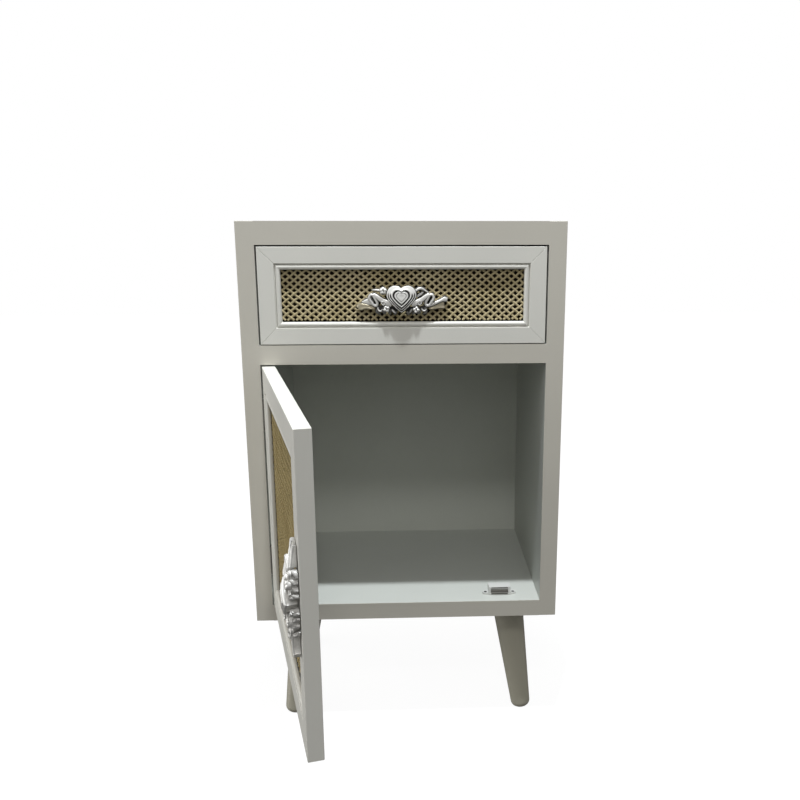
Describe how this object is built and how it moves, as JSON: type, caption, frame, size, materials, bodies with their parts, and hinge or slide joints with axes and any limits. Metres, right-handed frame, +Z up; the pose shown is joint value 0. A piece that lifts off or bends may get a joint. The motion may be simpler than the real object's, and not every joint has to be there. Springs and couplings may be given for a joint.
{
  "type": "bedside pot cupboard",
  "caption": "Bedside pot cupboard in light grey paint, with a cane-fronted drawer and door, cast heart handles and splayed tapered legs; the door stands open.",
  "frame": {"origin": "on the floor under the middle of the bounding box, with the door open as at rest", "axes": "+X to the viewer's right when facing the front, -Y out of the front, +Z up"},
  "size_m": [0.4, 0.6216, 0.673],
  "materials": {
    "carcass_paint": "satin paint on board, warm light grey",
    "leg_paint": "satin paint on turned wood, warm light grey",
    "front_paint": "satin paint, slightly cooler light grey",
    "back_board": "thin painted board",
    "raw_wood": "bare pine and plywood",
    "cane": "woven cane, matt",
    "dark_board": "dark stained board",
    "antique_silver": "cast metal with an antique silver finish",
    "catch_plastic": "moulded white plastic",
    "pole_steel": "bare steel poles",
    "hinge_steel": "dull steel",
    "zinc_steel": "zinc-plated steel"
  },
  "bodies": {
    "carcass": {"side_left": "carcass_paint", "side_right": "carcass_paint", "top_board": "carcass_paint", "divider_board": "carcass_paint", "bottom_board": "carcass_paint", "back_panel": "back_board", "carcass_dowels": "raw_wood", "back_screws": "zinc_steel", "leg_front_left": "leg_paint", "leg_front_right": "leg_paint", "leg_back_left": "leg_paint", "leg_back_right": "leg_paint", "leg_bolts": "zinc_steel", "runner_left": "raw_wood", "runner_right": "raw_wood", "runner_screws": "zinc_steel", "catch_body": "catch_plastic", "catch_magnet": "pole_steel", "catch_poles": "pole_steel", "catch_screws": "zinc_steel", "hinge_upper_fixed_leaf": "hinge_steel", "hinge_lower_fixed_leaf": "hinge_steel", "hinge_pins": "hinge_steel", "hinge_fixed_screws": "hinge_steel"},
    "door": {"door_hinge_stile": "front_paint", "door_free_stile": "front_paint", "door_top_rail": "front_paint", "door_bottom_rail": "front_paint", "door_cane": "cane", "door_backing": "dark_board", "door_panel_beads": "front_paint", "door_handle": "antique_silver", "door_handle_screws": "zinc_steel", "hinge_upper_door_leaf": "hinge_steel", "hinge_lower_door_leaf": "hinge_steel", "hinge_door_screws": "hinge_steel", "strike_plate": "zinc_steel", "strike_screws": "zinc_steel"},
    "drawer": {"drawer_left_stile": "front_paint", "drawer_right_stile": "front_paint", "drawer_top_rail": "front_paint", "drawer_bottom_rail": "front_paint", "drawer_cane": "cane", "drawer_core": "dark_board", "drawer_box_front": "raw_wood", "drawer_side_left": "raw_wood", "drawer_side_right": "raw_wood", "drawer_box_back": "raw_wood", "drawer_bottom": "raw_wood", "drawer_handle": "antique_silver", "drawer_handle_screws": "zinc_steel", "drawer_front_screws": "zinc_steel", "drawer_box_screws": "zinc_steel"}
  },
  "joints": [
    {"name": "door_hinge", "type": "hinge", "parent": "carcass", "child": "door", "pos_m": [-0.1761, 0.03082, 0.339], "axis": [0, 0, -1], "range_deg": [-76, 94]},
    {"name": "drawer_slide", "type": "slide", "parent": "carcass", "child": "drawer", "axis": [0, -1, 0], "range_m": [0, 0.18]}
  ]
}
